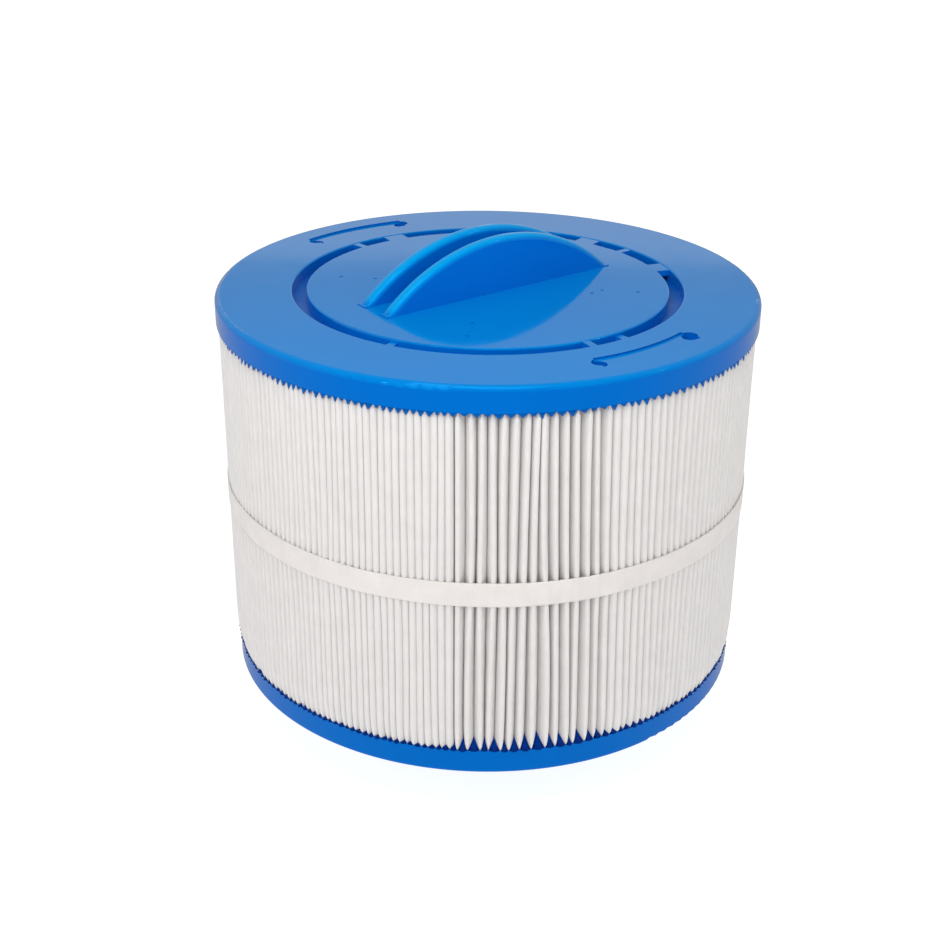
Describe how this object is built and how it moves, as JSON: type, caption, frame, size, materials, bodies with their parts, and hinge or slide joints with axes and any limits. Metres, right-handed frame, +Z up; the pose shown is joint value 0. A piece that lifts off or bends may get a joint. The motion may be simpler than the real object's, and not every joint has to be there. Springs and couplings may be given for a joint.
{
  "type": "pool and spa filter cartridge",
  "caption": "Round pleated filter cartridge with blue end caps, a white pleated media pack with a centre band, an arched grip on its lid and a threaded outlet below.",
  "frame": {"origin": "on the cartridge's axis, in the plane of the bottom cap's lower face", "axes": "+Z up along the cartridge's axis, from the outlet to the lid; the grip blades run along X"},
  "size_m": [0.216, 0.216, 0.206],
  "materials": {
    "cap_blue": "glossy moulded blue",
    "lid_blue": "glossy moulded blue",
    "potting_blue": "cast blue urethane",
    "core_white": "moulded white plastic",
    "media_white": "spun-bonded polyester, pleated",
    "seam_white": "welded strip",
    "band_white": "spun-bonded polyester strip",
    "fitting_blue": "moulded blue plastic",
    "gasket_black": "matt rubber"
  },
  "bodies": {
    "root": {"top_cap_ring": "cap_blue", "handle_lid": "lid_blue", "top_potting": "potting_blue", "core_tube": "core_white", "media_pack": "media_white", "media_seam": "seam_white", "centre_band": "band_white", "bottom_cap_ring": "cap_blue", "bottom_potting": "potting_blue", "core_foot": "fitting_blue", "outlet_nipple": "fitting_blue", "outlet_gasket": "gasket_black"}
  },
  "joints": []
}
